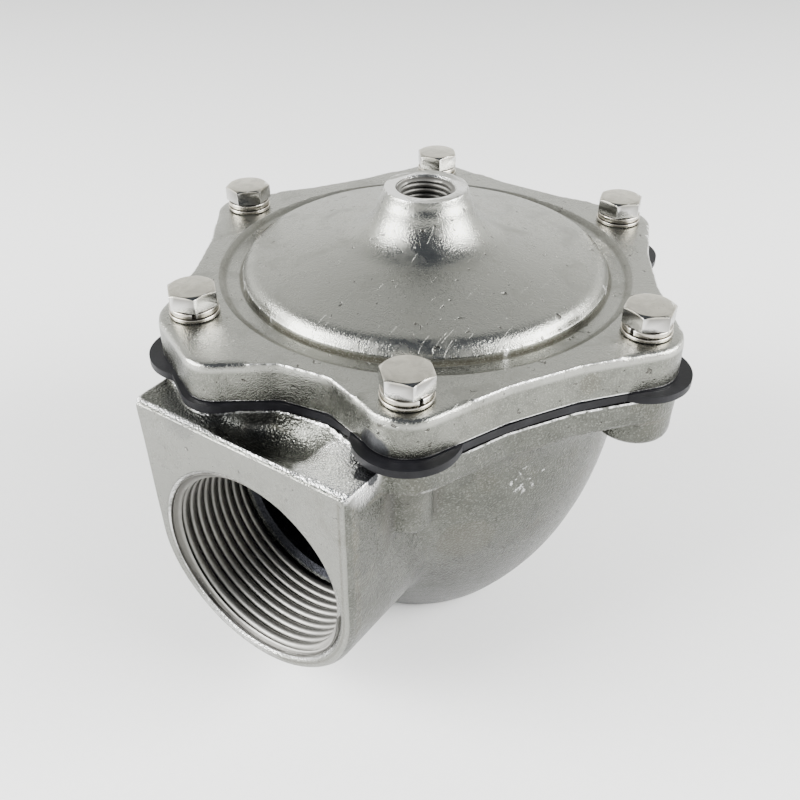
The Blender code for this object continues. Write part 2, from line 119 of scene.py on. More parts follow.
def flange_plan(lobe_grow=0.0, side_grow=0.0, lug_grow=0.0, side_steps=3):
    """Outline shared by cover, body and rubber: lobes and lug joined by hollow sides in flat facets."""
    lobe_r = LOBE_R + lobe_grow
    reach = SIDE_R + side_grow - LOBE_AT * math.cos(math.radians(30))
    half = LOBE_AT * math.sin(math.radians(30))
    hollow = (reach**2 + half**2 - lobe_r**2) / (2 * (lobe_r - reach))
    circles, hollows = [], []
    for i, angle in enumerate(BOLT_ANGLES):
        turn = math.radians(angle)
        circles.append((LOBE_AT * math.cos(turn), LOBE_AT * math.sin(turn), lobe_r))
        hollows.append(hollow)
        if i == LUG_LOBE:
            hollows[-1] = LUG_FILLETS[0]
            circles.append((LUG[0], LUG[1], LUG[2] + lug_grow))
            hollows.append(LUG_FILLETS[1] - lug_grow)
    centres = []
    for (x1, y1, r1), (x2, y2, r2), hollow_r in zip(circles, circles[1:] + circles[:1], hollows):
        near, far = r1 + hollow_r, r2 + hollow_r
        span = math.hypot(x2 - x1, y2 - y1)
        ux, uy = (x2 - x1) / span, (y2 - y1) / span
        along = (near**2 - far**2 + span**2) / (2 * span)
        off = math.sqrt(near**2 - along**2)
        centres.append((x1 + along * ux + off * uy, y1 + along * uy - off * ux))
    points = []
    for i, (x, y, radius) in enumerate(circles):
        (px, py), (nx, ny) = centres[i - 1], centres[i]
        start = math.degrees(math.atan2(py - y, px - x))
        end = math.degrees(math.atan2(ny - y, nx - x))
        end += 360 if end < start else 0
        points += arc(x, y, radius, start, end, 24)
        x2, y2, _ = circles[(i + 1) % len(circles)]
        start = math.degrees(math.atan2(y - ny, x - nx))
        end = math.degrees(math.atan2(y2 - ny, x2 - nx))
        end -= 360 if end > start else 0
        points += arc(nx, ny, hollows[i], start, end, side_steps)[1:-1]
    return points


def drawn(name, points, filled):
    """A circle primitive with one vertex for each point, put on that point (millimetres)."""
    bpy.ops.object.select_all(action="DESELECT")
    fill = "NGON" if filled else "NOTHING"
    bpy.ops.mesh.primitive_circle_add(vertices=len(points), fill_type=fill)
    obj = bpy.context.object
    obj.name = name
    for vertex, point in zip(obj.data.vertices, points):
        vertex.co = Vector(point) * MM
    return obj


def finish_edit(merge=1e-6):
    """Merges doubled points, turns the faces outwards and leaves edit mode."""
    bpy.ops.mesh.select_all(action="SELECT")
    bpy.ops.mesh.remove_doubles(threshold=merge)
    bpy.ops.mesh.normals_make_consistent(inside=False)
    bpy.ops.object.mode_set(mode="OBJECT")


def extruded(name, outline, low, high):
    """Extrudes a flat outline from low to high."""
    obj = drawn(name, [(x, y, low) for x, y in outline], True)
    bpy.ops.object.mode_set(mode="EDIT")
    bpy.ops.mesh.select_all(action="SELECT")
    rise = (0, 0, (high - low) * MM)
    bpy.ops.mesh.extrude_region_move(TRANSFORM_OT_translate={"value": rise})
    finish_edit()
    return obj


def turned(name, profile, steps=144, angle=360.0):
    """Spins a closed (radius, height) profile about Z."""
    obj = drawn(name, [(r, 0, z) for r, z in profile], angle < 360)
    bpy.ops.object.mode_set(mode="EDIT")
    bpy.ops.mesh.select_mode(type="EDGE")
    bpy.ops.mesh.select_all(action="DESELECT")
    bpy.ops.object.mode_set(mode="OBJECT")
    corners = obj.data.vertices
    for edge in obj.data.edges:
        edge.select = all(corners[i].co.x < 1e-7 for i in edge.vertices)
    bpy.ops.object.mode_set(mode="EDIT")
    if angle >= 360:
        bpy.ops.mesh.delete(type="EDGE")
    bpy.ops.mesh.select_mode(type="VERT")
    bpy.ops.mesh.select_all(action="SELECT")
    sweep = math.radians(angle)
    bpy.ops.mesh.spin(steps=steps, angle=sweep, center=(0, 0, 0), axis=(0, 0, 1))
    finish_edit()
    return obj


def take(obj):
    """Selects this piece alone."""
    bpy.ops.object.select_all(action="DESELECT")
    obj.select_set(True)
    bpy.context.view_layer.objects.active = obj


def applied(obj, kind, **settings):
    """Adds a modifier with these settings and applies it."""
    take(obj)
    modifier = obj.modifiers.new(kind.title(), kind)
    for key, value in settings.items():
        setattr(modifier, key, value)
    bpy.ops.object.modifier_apply(modifier=modifier.name)
    return obj


def combined(target, tool, operation="DIFFERENCE"):
    """Cuts a piece with a tool, or joins or trims it, and uses the tool up."""
    applied(target, "BOOLEAN", object=tool, operation=operation, solver="MANIFOLD")
    bpy.data.objects.remove(tool)
    return target


def copied(piece, name):
    """A copy of a piece with its own mesh."""
    take(piece)
    bpy.ops.object.duplicate()
    bpy.context.object.name = name
    return bpy.context.object


def moved(obj, x=0.0, y=0.0, z=0.0, turn=0.0, tilt=0.0):
    """Turns and shifts a piece, and applies that to its mesh."""
    obj.rotation_euler = (math.radians(tilt), 0, math.radians(turn))
    obj.location = (x * MM, y * MM, z * MM)
    take(obj)
    bpy.ops.object.transform_apply(location=True, rotation=True, scale=True)
    return obj


def merged(name, pieces):
    """Joins overlapping closed pieces into one object, for the remesh to make one skin of."""
    bpy.ops.object.select_all(action="DESELECT")
    for piece in pieces:
        piece.select_set(True)
    bpy.context.view_layer.objects.active = pieces[0]
    bpy.ops.object.join()
    pieces[0].name = name
    return pieces[0]


def pick(obj, chosen):
    """Opens the mesh for editing with only these vertices selected."""
    take(obj)
    bpy.ops.object.mode_set(mode="EDIT")
    bpy.ops.mesh.select_mode(type="VERT")
    bpy.ops.mesh.select_all(action="DESELECT")
    bpy.ops.object.mode_set(mode="OBJECT")
    obj.data.vertices.foreach_set("select", chosen)
    bpy.ops.object.mode_set(mode="EDIT")


def places(obj):
    """Vertex positions in millimetres."""
    co = np.empty(len(obj.data.vertices) * 3)
    obj.data.vertices.foreach_get("co", co)
    return co.reshape(-1, 3) / MM


def rounded(obj, chosen, repeat, spread=0):
    """Smooths the chosen vertices and a few rows round them, as tumbling or a mould fillet would."""
    pick(obj, chosen)
    for _ in range(spread):
        bpy.ops.mesh.select_more()
    bpy.ops.mesh.vertices_smooth(factor=0.5, repeat=repeat)
    bpy.ops.object.mode_set(mode="OBJECT")


def uneven(obj, strength, size, name):
    """Gives a skin the slight waviness of a sand or gravity casting."""
    texture = bpy.data.textures.new(name, "CLOUDS")
    texture.noise_scale = size * MM
    texture.noise_depth = 1
    settings = {"texture": texture, "texture_coords": "LOCAL", "mid_level": 0.5}
    applied(obj, "DISPLACE", strength=strength * MM, **settings)


def on_bolt(angle):
    """Where the bolt at this angle stands."""
    turn = math.radians(angle)
    return BOLT_CIRCLE_R * math.cos(turn), BOLT_CIRCLE_R * math.sin(turn)


def drilled(target, low, high):
    """Cuts the six bolt holes with copies of one drill."""
    profile = [(0, low), (BOLT_HOLE_R, low), (BOLT_HOLE_R, high), (0, high)]
    drill = turned("drill", profile, 40)
    for angle in BOLT_ANGLES:
        combined(target, moved(copied(drill, "bolt_hole"), *on_bolt(angle)))
    bpy.data.objects.remove(drill)


class Value:
    """A shader socket that takes part in Python expressions."""

    def __init__(self, finish, socket):
        self.finish = finish
        self.socket = socket

    def maths(self, operation, a, b):
        return self.finish.node("Math", {"operation": operation}, {0: a, 1: b})

    def __add__(self, other):
        return self.maths("ADD", self, other)

    def __sub__(self, other):
        return self.maths("SUBTRACT", self, other)

    def __mul__(self, other):
        return self.maths("MULTIPLY", self, other)

    def __rsub__(self, other):
        return self.maths("SUBTRACT", other, self)

    def least(self, other):
        return self.maths("MINIMUM", self, other)

    def power(self, exponent):
        return self.maths("POWER", self, exponent)

    __radd__ = __add__
    __rmul__ = __mul__


class Finish:
    """A material built on one Principled shader."""

    def __init__(self, name, **constants):
        self.material = bpy.data.materials.new(name)
        self.material.use_nodes = True
        self.tree = self.material.node_tree
        self.shader = self.tree.nodes["Principled BSDF"]
        for socket, value in constants.items():
            self.shader.inputs[self.spelled(socket)].default_value = value
        self.where = self.node("TexCoord", output="Object")
        scaled = {0: self.where, "Scale": 1 / MM}
        self.place = self.node("VectorMath", {"operation": "SCALE"}, scaled)

    def spelled(self, socket):
        return socket.replace("_", " ").title().replace("Ior", "IOR")

    def node(self, kind, settings=None, inputs=None, output=0):
        made = self.tree.nodes.new("ShaderNode" + kind)
        for key, value in (settings or {}).items():
            setattr(made, key, value)
        for key, value in (inputs or {}).items():
            self.feed(made.inputs[key], value)
        return Value(self, made.outputs[output])

    def feed(self, socket, value):
        if isinstance(value, Value):
            self.tree.links.new(value.socket, socket)
        elif isinstance(value, tuple) and socket.type == "RGBA":
            socket.default_value = (*value, 1)
        else:
            socket.default_value = value

    def noise(self, size, detail=2.0, roughness=0.5, distortion=0.0):
        """Noise whose features are about size millimetres across."""
        inputs = {"Vector": self.where, "Scale": 1 / (size * MM), "Detail": detail}
        inputs |= {"Roughness": roughness, "Distortion": distortion}
        return self.node("TexNoise", None, inputs)

    def step(self, value, low, high):
        """0 at low, 1 at high, eased between."""
        inputs = {"Value": value, "From Min": low, "From Max": high}
        return self.node("MapRange", {"interpolation_type": "SMOOTHSTEP"}, inputs)

    def mix(self, factor, a, b):
        """From colour a to colour b."""
        return self.node("Mix", {"data_type": "RGBA"}, {0: factor, 6: a, 7: b}, 2)

    def band(self, value, start, full, fade, end):
        """Rises from start to full and falls again from fade to end."""
        return self.step(value, start, full) * self.step(value, end, fade)

    def parts(self):
        """X, Y and Z in millimetres."""
        return [self.node("SeparateXYZ", None, {0: self.place}, axis) for axis in "XYZ"]

    def clamp(self, value):
        """Held between 0 and 1."""
        return self.node("Clamp", None, {0: value})

    def spot(self, centre, radius, ragged):
        """1 near a point (millimetres), 0 beyond the radius, with a ragged edge."""
        ends = {0: self.place, 1: centre}
        away = self.node("VectorMath", {"operation": "DISTANCE"}, ends, "Value")
        return self.step(away + ragged, radius, radius * 0.75)

    def scratches(self, turn):
        """Sparse thin scratches running one way."""
        inputs = {"Vector": self.where, "Rotation": (0, 0, turn), "Scale": (2600, 90, 90)}
        along = self.node("Mapping", None, inputs)
        inputs = {"Vector": along, "Scale": 1.0, "Detail": 1.0}
        return self.step(self.node("TexNoise", None, inputs), 0.74, 0.78)

    def bump(self, height, depth, before=None):
        """Relief of this depth in millimetres, over what is there before."""
        inputs = {"Height": height, "Distance": depth * MM, "Strength": 1.0}
        if before:
            inputs["Normal"] = before
        return self.node("Bump", None, inputs)

    def surface(self, **links):
        """Feeds the shader and gives back the material."""
        for socket, value in links.items():
            self.feed(self.shader.inputs[self.spelled(socket)], value)
        return self.material


def cast_aluminium(name, dark, light, marks, dirt_share, grain_size, grain_depth):
    """Tumbled casting: satin grey with a fine sparkling grain, pits, stains and bright worn edges,
    painted shade in its hollows, and the painted light and shade that the marks pass in.
    """
    f = Finish(name)
    clouds = f.noise(38, 2)
    mottle = f.noise(4.2, 5, 0.65, 0.3)
    stains = f.noise(9, 5, 0.65, 0.6)
    grit = f.noise(1.1, 2, 0.6)
    grain = f.noise(grain_size, 1, 0.6)
    pits = f.step(f.noise(1.7, 1, 0.5, 0.6), 0.71, 0.76)
    scratches = f.scratches(0.5) + f.scratches(-0.9)
    point = f.node("NewGeometry", output="Pointiness")
    worn = f.step(point + 0.05 * (mottle - 0.5), 0.522, 0.552)
    # Hollows found by pointiness: painted shade in recesses, added to the dirt mask.
    deep = f.step(point, 0.492, 0.455)
    dirt_and_shade = f.step(stains, 0.50, 0.70) * dirt_share + deep * 0.6
    worn, dirt_and_shade, black, bare = marks(f, worn, dirt_and_shade, stains)
    colour = f.mix(f.step(clouds, 0.3, 0.7), dark, light)
    shade = tuple(0.62 * c for c in dark)
    sparkle = tuple(min(1.8 * c, 1.0) for c in light)
    colour = f.mix(f.step(mottle, 0.42, 0.68) * 0.55, colour, shade)
    # Fresh metal on the body's machined face; on the cover, painted light making its upper faces paler.
    colour = f.mix(bare, colour, FRESH_AND_LIT_METAL)
    # Dirt and painted shade darken towards the soil colour.
    colour = f.mix(dirt_and_shade, colour, SOIL_AND_SHADE)
    colour = f.mix(f.step(grain, 0.5, 0.72) * 0.5, colour, sparkle)
    colour = f.mix(pits * 0.7, colour, PIT_SHADE)
    # Worn edges and, on the body, painted highlights brighten towards bright metal.
    colour = f.mix(worn * 0.85, colour, WORN_AND_LIT_METAL)
    # Painted shadows, shade and dark reflections from the marks, with some grime, darken towards near
    # black.
    colour = f.mix(black, colour, SHADE_AND_GRIME)
    rough = 0.15 + 0.12 * stains + 0.10 * grit + 0.18 * dirt_and_shade - 0.04 * worn + 0.15 * black
    normal = f.bump(grain, grain_depth)
    normal = f.bump(grit, 0.045, normal)
    normal = f.bump(scratches, -0.03, normal)
    normal = f.bump(pits, -0.12, normal)
    return f.surface(base_color=colour, roughness=rough, metallic=1 - 0.4 * dirt_and_shade, normal=normal)


def cover_marks(f, worn, dirt_and_shade, stains):
    """Dirt on both slopes of the groove, a painted shadow and dark reflection of the rubber over two
    ears, a painted dark patch, and painted light that makes the upper faces paler.
    """
    x, y, z = f.parts()
    reach = (x * x + y * y).power(0.5)
    past_dome = reach - DOME_R
    foot = f.band(past_dome, -0.5, -0.2, 0.2, 0.9) * f.step(z, COVER_TOP + 0.2, COVER_TOP - 0.3)
    slope = f.band(past_dome, 3.2, 4.0, 5.0, 5.6) * f.step(z, COVER_TOP + 0.2, COVER_TOP)
    brow = f.step(z, PILOT_TOP - 2.7, PILOT_TOP - 1.5)
    edges = f.clamp(f.step(past_dome, -1.9, -0.9) + brow)
    ragged = (stains - 0.5) * 6
    # Painted shadow and dark reflection of the rubber on the cover's lower side at two ears.
    rubber_shade = f.spot((25.5, -57.0, 75.2), 4.2, ragged) + 0.5 * f.spot((53.0, -23.0, 75.0), 2.4, ragged)
    # Painted dark reflection: a dark patch on the flange's right side that the lighting does not give.
    dull = f.spot((53.5, -19.0, 78.5), 3.4, ragged)
    dirt_and_shade = f.clamp(dirt_and_shade + 0.5 * dull + 0.75 * foot + 0.5 * slope)
    # Painted light: the upper faces paler than the sides, as if lit from above.
    top = f.step(z, COVER_TOP - 2.4, COVER_TOP - 1.4)
    return worn * edges, dirt_and_shade, f.clamp(rubber_shade) * 0.9, f.clamp(top - 0.55 * dirt_and_shade)


def smooth(obj, material, angle=30.0):
    """Shades a piece smooth up to an edge angle and gives it its finish."""
    take(obj)
    bpy.ops.object.shade_smooth_by_angle(angle=math.radians(angle))
    obj.data.materials.clear()
    obj.data.materials.append(material)
    return obj


flange = extruded("cover_flange", flange_plan(), COVER_LOW - 1, COVER_TOP)
dome = [(0, COVER_LOW), (DOME_R, COVER_LOW), (DOME_R, COVER_TOP - 1.5)]
dome += arc(*SHOULDER, 8, 90 - DOME_SLOPE, 12)
dome += arc(*FLARE, 270 - DOME_SLOPE, 192, 16)
dome += [(PILOT_BOSS_R + 0.25, 101.1), (PILOT_BOSS_R, PILOT_TOP - 0.4)]
dome += [(PILOT_BOSS_R - 0.4, PILOT_TOP + 0.5), (0, PILOT_TOP + 0.5)]
cover = merged("cover_casting", [flange, turned("dome", dome, 192)])
applied(cover, "REMESH", mode="VOXEL", voxel_size=CAST_VOXEL * MM)
applied(cover, "SMOOTH", factor=0.5, iterations=TUMBLING)
at = places(cover)
reach = np.hypot(at[:, 0], at[:, 1])
rounded(cover, (reach > 57.5) & (at[:, 2] > COVER_TOP - 2.2), 24)
ring = [(DOME_R - 0.3, COVER_TOP + 0.8)]
ring += [(DOME_R + out, COVER_TOP - deep) for out, deep in GROOVE]
combined(cover, turned("groove", ring, 256))
uneven(cover, 0.16, 14, "cover_waviness")

slab = extruded("saw", arc(0, 0, 80, 0, 350, 35), COVER_LOW - 5, COVER_LOW)
combined(cover, slab)
slab = extruded("mill", arc(0, 0, 14, 0, 350, 35), PILOT_TOP, PILOT_TOP + 5)
combined(cover, slab)
pocket_r, pocket_top = SPRING_POCKET
cavity = [(0, COVER_LOW - 1), (CAVITY_R, COVER_LOW - 1), (CAVITY_R, COVER_LOW)]
cavity += arc(*CAVITY_CORNER, 20, 90 - DOME_SLOPE, 4)
cavity += [(pocket_r + 0.6, 86.58), (pocket_r, 87.18), (pocket_r, pocket_top), (0, pocket_top)]
combined(cover, turned("cavity", cavity, 96))
bore_r, bore_low = PILOT_BORE
port = [(0, bore_low), (bore_r, bore_low), (bore_r, bore_low + 0.72)]
port += [(PILOT_ROOT_R, PILOT_FOOT), (PILOT_ROOT_R, PILOT_TOP - 0.5)]
port += [(PILOT_ROOT_R + 1.5, PILOT_TOP + 1), (0, PILOT_TOP + 1)]
combined(cover, turned("port", port, 96))
drilled(cover, COVER_LOW - 1, COVER_TOP + 2)
pale, paler = (0.12, 0.122, 0.107), (0.165, 0.167, 0.148)
skin = {"dirt_share": 0.30, "grain_size": 0.30, "grain_depth": 0.085}
smooth(cover, cast_aluminium("cast_cover", pale, paler, cover_marks, **skin))
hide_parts("cover")
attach(cover, "housing")


# Body: one aluminium casting. A turned bowl and a U-shaped inlet block under a lobed flange with
# bolt bosses, a hollow scooped into the block's top, machined faces, bores and chamber.
FLANGE_TOP = 72.3
UNDER_FLANGE = 65.8
BOWL = (50.4, 94.3, 58.75)  # widest radius, radius and height of its side's arc
BOWL_SHIFT_Y = -2.8
NECK_R = 52.3
BLOCK_HALF = 27.9
BLOCK_DRAFT = 1.6  # how far its -X side leans out at the top
BLOCK_FRONT = -68.0
BLOCK_TOP = 71.4
BORE_Z = 37.4
PIPE_ROOT_R = 23.9
SMOOTH_BORE_R = 22.2
SCOOP = (3.0, -59.5, 73.5)  # centre of the hollow in the block's top
SCOOP_HALF = (14.5, 7.5, 6.2)
MOUTH_R = 25.3
MOUTH_SLOPE = 1.457  # radius lost for each millimetre of depth
SEAT_Z = 66.0
TUBE_R = 21.2
TUBE_OUTER_R = 25.4
TUBE_FOOT_R = 29.2
CHAMBER_LOW = 13.5
CHAMBER_WALL = 5.8
CHAMBER_MOUTH_R = 44.6
BOSS_ROOT = 67.0
LONG_BOSS = (5.7, 52.5, 1.2)  # radius, lower end, rounding
LONG_BOSS_ANGLES = (240, 300)
SHORT_BOSS = (8.45, 59.1, 1.8)
SHORT_BOSS_ANGLES = (0, 60, 120, 180)
INLET_THREAD_END = 44.0
INLET_BORE_END = 30.4
OUTLET_THREAD_END = 19.0
SAW_ALLOWANCE = 0.8  # left on the block's front for the saw
BODY_VOXEL = 0.66


def bowl_r(z, inset=0.0):
    """The bowl's radius at a height; its side is an arc."""
    middle_r, arc_r, arc_z = BOWL
    return math.sqrt(arc_r**2 - (z - arc_z) ** 2) - (arc_r - middle_r) - inset


def hollow_corners(obj, least=0.02):
    """Which vertices lie deeper than the mean of their neighbours, by least millimetres."""
    co = places(obj)
    edges = np.empty(len(obj.data.edges) * 2, int)
    obj.data.edges.foreach_get("vertices", edges)
    edges = edges.reshape(-1, 2)
    total = np.zeros_like(co)
    count = np.zeros(len(co))
    for a, b in ((0, 1), (1, 0)):
        np.add.at(total, edges[:, a], co[edges[:, b]])
        np.add.at(count, edges[:, a], 1)
    normals = np.empty(len(co) * 3)
    obj.data.vertices.foreach_get("normal", normals)
    return ((total / count[:, None] - co) * normals.reshape(-1, 3)).sum(1) > least


bend = arc(0, BORE_Z, BLOCK_HALF, 0, -180, 48)
section = [(BLOCK_HALF, BLOCK_TOP)] + bend + [(-BLOCK_HALF - BLOCK_DRAFT, BLOCK_TOP)]
block = extruded("block", [(x, -z) for x, z in section], BLOCK_FRONT - SAW_ALLOWANCE, -12)
moved(block, tilt=-90)
at = places(block)
front = at[:, 1] < BLOCK_FRONT + 0.1
pick(block, front)
bpy.ops.mesh.select_mode(type="EDGE")
bpy.ops.object.mode_set(mode="OBJECT")
for edge in block.data.edges:
    ends = [at[i] for i in edge.vertices]
    both_front = all(end[1] < BLOCK_FRONT + 0.1 for end in ends)
    edge.select = bool(both_front and min(end[2] for end in ends) < BLOCK_TOP - 0.1)
bpy.ops.object.mode_set(mode="EDIT")
bpy.ops.mesh.bevel(offset=(2.0 + SAW_ALLOWANCE) * MM, segments=5, affect="EDGES")
finish_edit()
bpy.ops.object.select_all(action="DESELECT")
bpy.ops.mesh.primitive_uv_sphere_add(segments=64, ring_count=32, radius=MM)
bpy.context.object.scale = SCOOP_HALF
combined(block, moved(bpy.context.object, *SCOOP))

shapes = [block]
levels = [BOWL[2] * (1 - i / 16) for i in range(17)]
outer = [(NECK_R, UNDER_FLANGE), (NECK_R - 0.9, UNDER_FLANGE - 2.3)]
outer += [(NECK_R - 1.5, UNDER_FLANGE - 4.8)]
outer += [(bowl_r(z), z) for z in levels]
profile = [(0, BOSS_ROOT + 0.3), (NECK_R, BOSS_ROOT + 0.3)] + outer + [(0, 0)]
shapes.append(moved(turned("bowl", profile, 192), y=BOWL_SHIFT_Y))
shapes.append(extruded("flange", flange_plan(0.5, 0.3, 0.3), UNDER_FLANGE, FLANGE_TOP + 1))
bosses = ((SHORT_BOSS, SHORT_BOSS_ANGLES), (LONG_BOSS, LONG_BOSS_ANGLES))
for (radius, low, ease), angles in bosses:
    profile = [(0, low)] + arc(radius - ease, low + ease, ease, -90, 0, 6)
    boss = turned("boss", profile + [(radius, BOSS_ROOT), (0, BOSS_ROOT)], 64)
    for angle in angles:
        shapes.append(moved(copied(boss, "bolt_boss"), *on_bolt(angle)))
    bpy.data.objects.remove(boss)
body = merged("body_casting", shapes)
applied(body, "REMESH", mode="VOXEL", voxel_size=BODY_VOXEL * MM)
applied(body, "SMOOTH", factor=0.5, iterations=4)
for _ in range(2):
    at = places(body)
    rounded(body, hollow_corners(body) & (at[:, 2] < 64) & (at[:, 2] > 3), 5, 1)
off = at - SCOOP
ring = np.hypot(off[:, 0] / SCOOP_HALF[0], off[:, 1] / SCOOP_HALF[1])
rim = (ring > 0.6) & (ring < 1.35) & (at[:, 2] > 65) & (at[:, 2] < 71.9) & (at[:, 1] > -67)
rounded(body, rim, 60)
uneven(body, 0.22, 16, "body_waviness")

front_saw = extruded("saw", [(-60, 0), (60, 0), (60, 90), (-60, 90)], 0, 10)
combined(body, moved(front_saw, y=BLOCK_FRONT, tilt=90))
combined(body, extruded("mill", arc(0, 0, 90, 0, 350, 35), FLANGE_TOP, FLANGE_TOP + 6))
combined(body, extruded("mill", arc(0, 0, 90, 0, 350, 35), -6, 0))
wall_low = CHAMBER_LOW + 3
levels = [wall_low + (BOWL[2] - wall_low) * i / 8 for i in range(9)]
wall = [(bowl_r(z, CHAMBER_WALL), z) for z in levels]
chamber = [(TUBE_FOOT_R, CHAMBER_LOW), (wall[0][0] - 2.4, CHAMBER_LOW)] + wall
chamber += [(CHAMBER_MOUTH_R, FLANGE_TOP + 5), (0, FLANGE_TOP + 5)]
chamber += [(0, SEAT_Z), (TUBE_OUTER_R - 1.2, SEAT_Z)]
chamber += [(TUBE_OUTER_R, SEAT_Z - 1.2), (TUBE_OUTER_R, CHAMBER_LOW + 12)]
chamber += [(TUBE_FOOT_R - 1, CHAMBER_LOW + 1.5)]
combined(body, turned("chamber", chamber, 128))
face = -BLOCK_FRONT
mouth_depth = (MOUTH_R - PIPE_ROOT_R) / MOUTH_SLOPE
inlet = [(0, face + 1), (MOUTH_R + MOUTH_SLOPE, face + 1)]
inlet += [(PIPE_ROOT_R, face - mouth_depth), (PIPE_ROOT_R, INLET_THREAD_END)]
inlet += [(SMOOTH_BORE_R, INLET_THREAD_END - 1.7), (SMOOTH_BORE_R, INLET_BORE_END)]
inlet += [(0, INLET_BORE_END)]
combined(body, moved(turned("inlet", inlet, 160), z=BORE_Z, tilt=90))
outlet = [(0, -1), (MOUTH_R + MOUTH_SLOPE, -1)]
outlet += [(PIPE_ROOT_R, mouth_depth), (PIPE_ROOT_R, OUTLET_THREAD_END)]
outlet += [(TUBE_R, OUTLET_THREAD_END + PIPE_ROOT_R - TUBE_R)]
outlet += [(TUBE_R, SEAT_Z - 1.2), (TUBE_R + 2.2, SEAT_Z + 1), (0, SEAT_Z + 1)]
combined(body, turned("outlet", outlet, 128))
drilled(body, UNDER_FLANGE - 1.8, FLANGE_TOP + 1)


def body_marks(f, worn, dirt_and_shade, stains):
    """Rubbed line with a painted highlight under the rubber, painted shade under the flange's edge,
    dirty lines, painted shadows and a painted highlight on the block, painted shade inside the bore,
    round the long bosses and low on the bowl.
    """
    x, y, z = f.parts()
    nicks = f.noise(1.6, 3, 0.7)
    behind_front = y - BLOCK_FRONT
    over_bore = z - BORE_Z
    off_axis = (x * x + over_bore * over_bore).power(0.5)
    face = f.step(behind_front, 0.3, 0.1)
    # Painted shade deep in the inlet bore, past the thread.
    inside = f.step(off_axis, 23.7, 23.2) * f.band(behind_front, 23.5, 25.0, 46.0, 50.0)
    # Bright line just under the flange's top: rubbing, and a painted highlight along that edge.
    line = f.band(z - FLANGE_TOP, -0.6, -0.4, -0.1, 0.05) * f.step(nicks, 0.38, 0.55)
    # Painted shade along the crease under the flange's edge, broken up by nicks like dirt.
    crease_shade_and_dirt = f.band(z - UNDER_FLANGE, -1.0, -0.3, 0.1, 0.6) * f.step(nicks, 0.3, 0.5)
    crease_shade_and_dirt = crease_shade_and_dirt * f.step(behind_front, 5.5, 7.5)
    below = over_bore.least(0.0)
    round_block = (x * x + below * below).power(0.5)
    edge = f.band(round_block, 25.2, 25.7, 25.9, 26.3) * f.step(behind_front, 1.8, 0.8)
    edge = edge * f.step(z, 70.5, 69.0) * f.step(x, -12.0, 4.0)
    streak = f.band(behind_front, 1.2, 2.0, 2.8, 3.8) * f.step(x, 27.0, 27.6)
    streak = streak * f.step(z, 70.5, 68.0) * f.step(nicks, 0.35, 0.6)
    burr = f.step(behind_front, 1.6, 0.6) * f.step(z, 70.8, 71.1) * f.step(nicks, 0.3, 0.45)
    # Painted shade round the two long bosses where they meet bowl and block, with some grime.
    boss_shade_and_grime = 0.0
    for middle_x, middle_y in map(on_bolt, LONG_BOSS_ANGLES):
        off_x, off_y = x - middle_x, y - middle_y
        away = (off_x * off_x + off_y * off_y).power(0.5)
        boss_shade_and_grime = f.band(away, 5.6, 6.0, 6.0, 9.2) + boss_shade_and_grime
    boss_shade_and_grime = boss_shade_and_grime * f.step(z, 66.5, 65.5) * f.step(z, 47.0, 52.0)
    soft, ragged = (stains - 0.5) * 2.5, (stains - 0.5) * 8
    # Painted highlight: the right part of the block's top brightened in place of a softbox reflection.
    top_reflection = f.spot((20.5, -61.5, BLOCK_TOP), 9.5, soft) * f.step(behind_front, 0.3, 0.8)
    # Painted shadows of the lobes above on the block's top: soft ones on the left, a dark one by the
    # right ear.
    lobe_shadows = f.spot((-16.0, -60.0, BLOCK_TOP), 10.0, soft) + f.spot((-6.0, -58.5, BLOCK_TOP), 7.0, soft)
    lobe_shadows = 0.35 * f.clamp(lobe_shadows) + 0.95 * f.spot((26.5, -59.6, BLOCK_TOP), 2.6, ragged)
    patch = f.spot((35.5, -35.9, 40.3), 7.5, ragged)
    nicked = f.spot((44.3, -26.9, 56.2), 5.0, ragged) * f.step(nicks, 0.58, 0.66)
    # Painted shade: the bowl darker towards the bottom, away from the front face.
    low = f.step(z, 45.0, 8.0) * (1 - face)
    mouth = f.band(off_axis, 23.9, 24.5, 26.2, 27.2) * f.step(behind_front, 3.0, 1.5)
    mouth = mouth * f.step(over_bore, -15.0, -22.0) * f.step(x, 8.0, -2.0) * f.step(nicks, 0.25, 0.6)
    bare = f.clamp(f.step(z - UNDER_FLANGE, 0.4, 1.0) + f.step(behind_front, 10.0, 6.0))
    bare = bare * (1 - inside) * (1 - face)
    dirt_and_shade = f.clamp(dirt_and_shade + 0.7 * crease_shade_and_dirt + 0.55 * edge + 0.8 * streak + boss_shade_and_grime + 0.5 * patch)
    worn = (worn + 0.9 * line) * bare + burr + top_reflection + 0.6 * nicked + 0.6 * mouth
    black = lobe_shadows + 0.85 * inside + 0.5 * boss_shade_and_grime + 0.45 * low
    return f.clamp(worn), dirt_and_shade, f.clamp(black), 0.6 * face


grey, greyer = (0.076, 0.078, 0.067), (0.114, 0.116, 0.104)
skin = {"dirt_share": 0.35, "grain_size": 0.46, "grain_depth": 0.26}
smooth(body, cast_aluminium("cast_body", grey, greyer, body_marks, **skin))
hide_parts("valve_body")
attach(body, "housing")


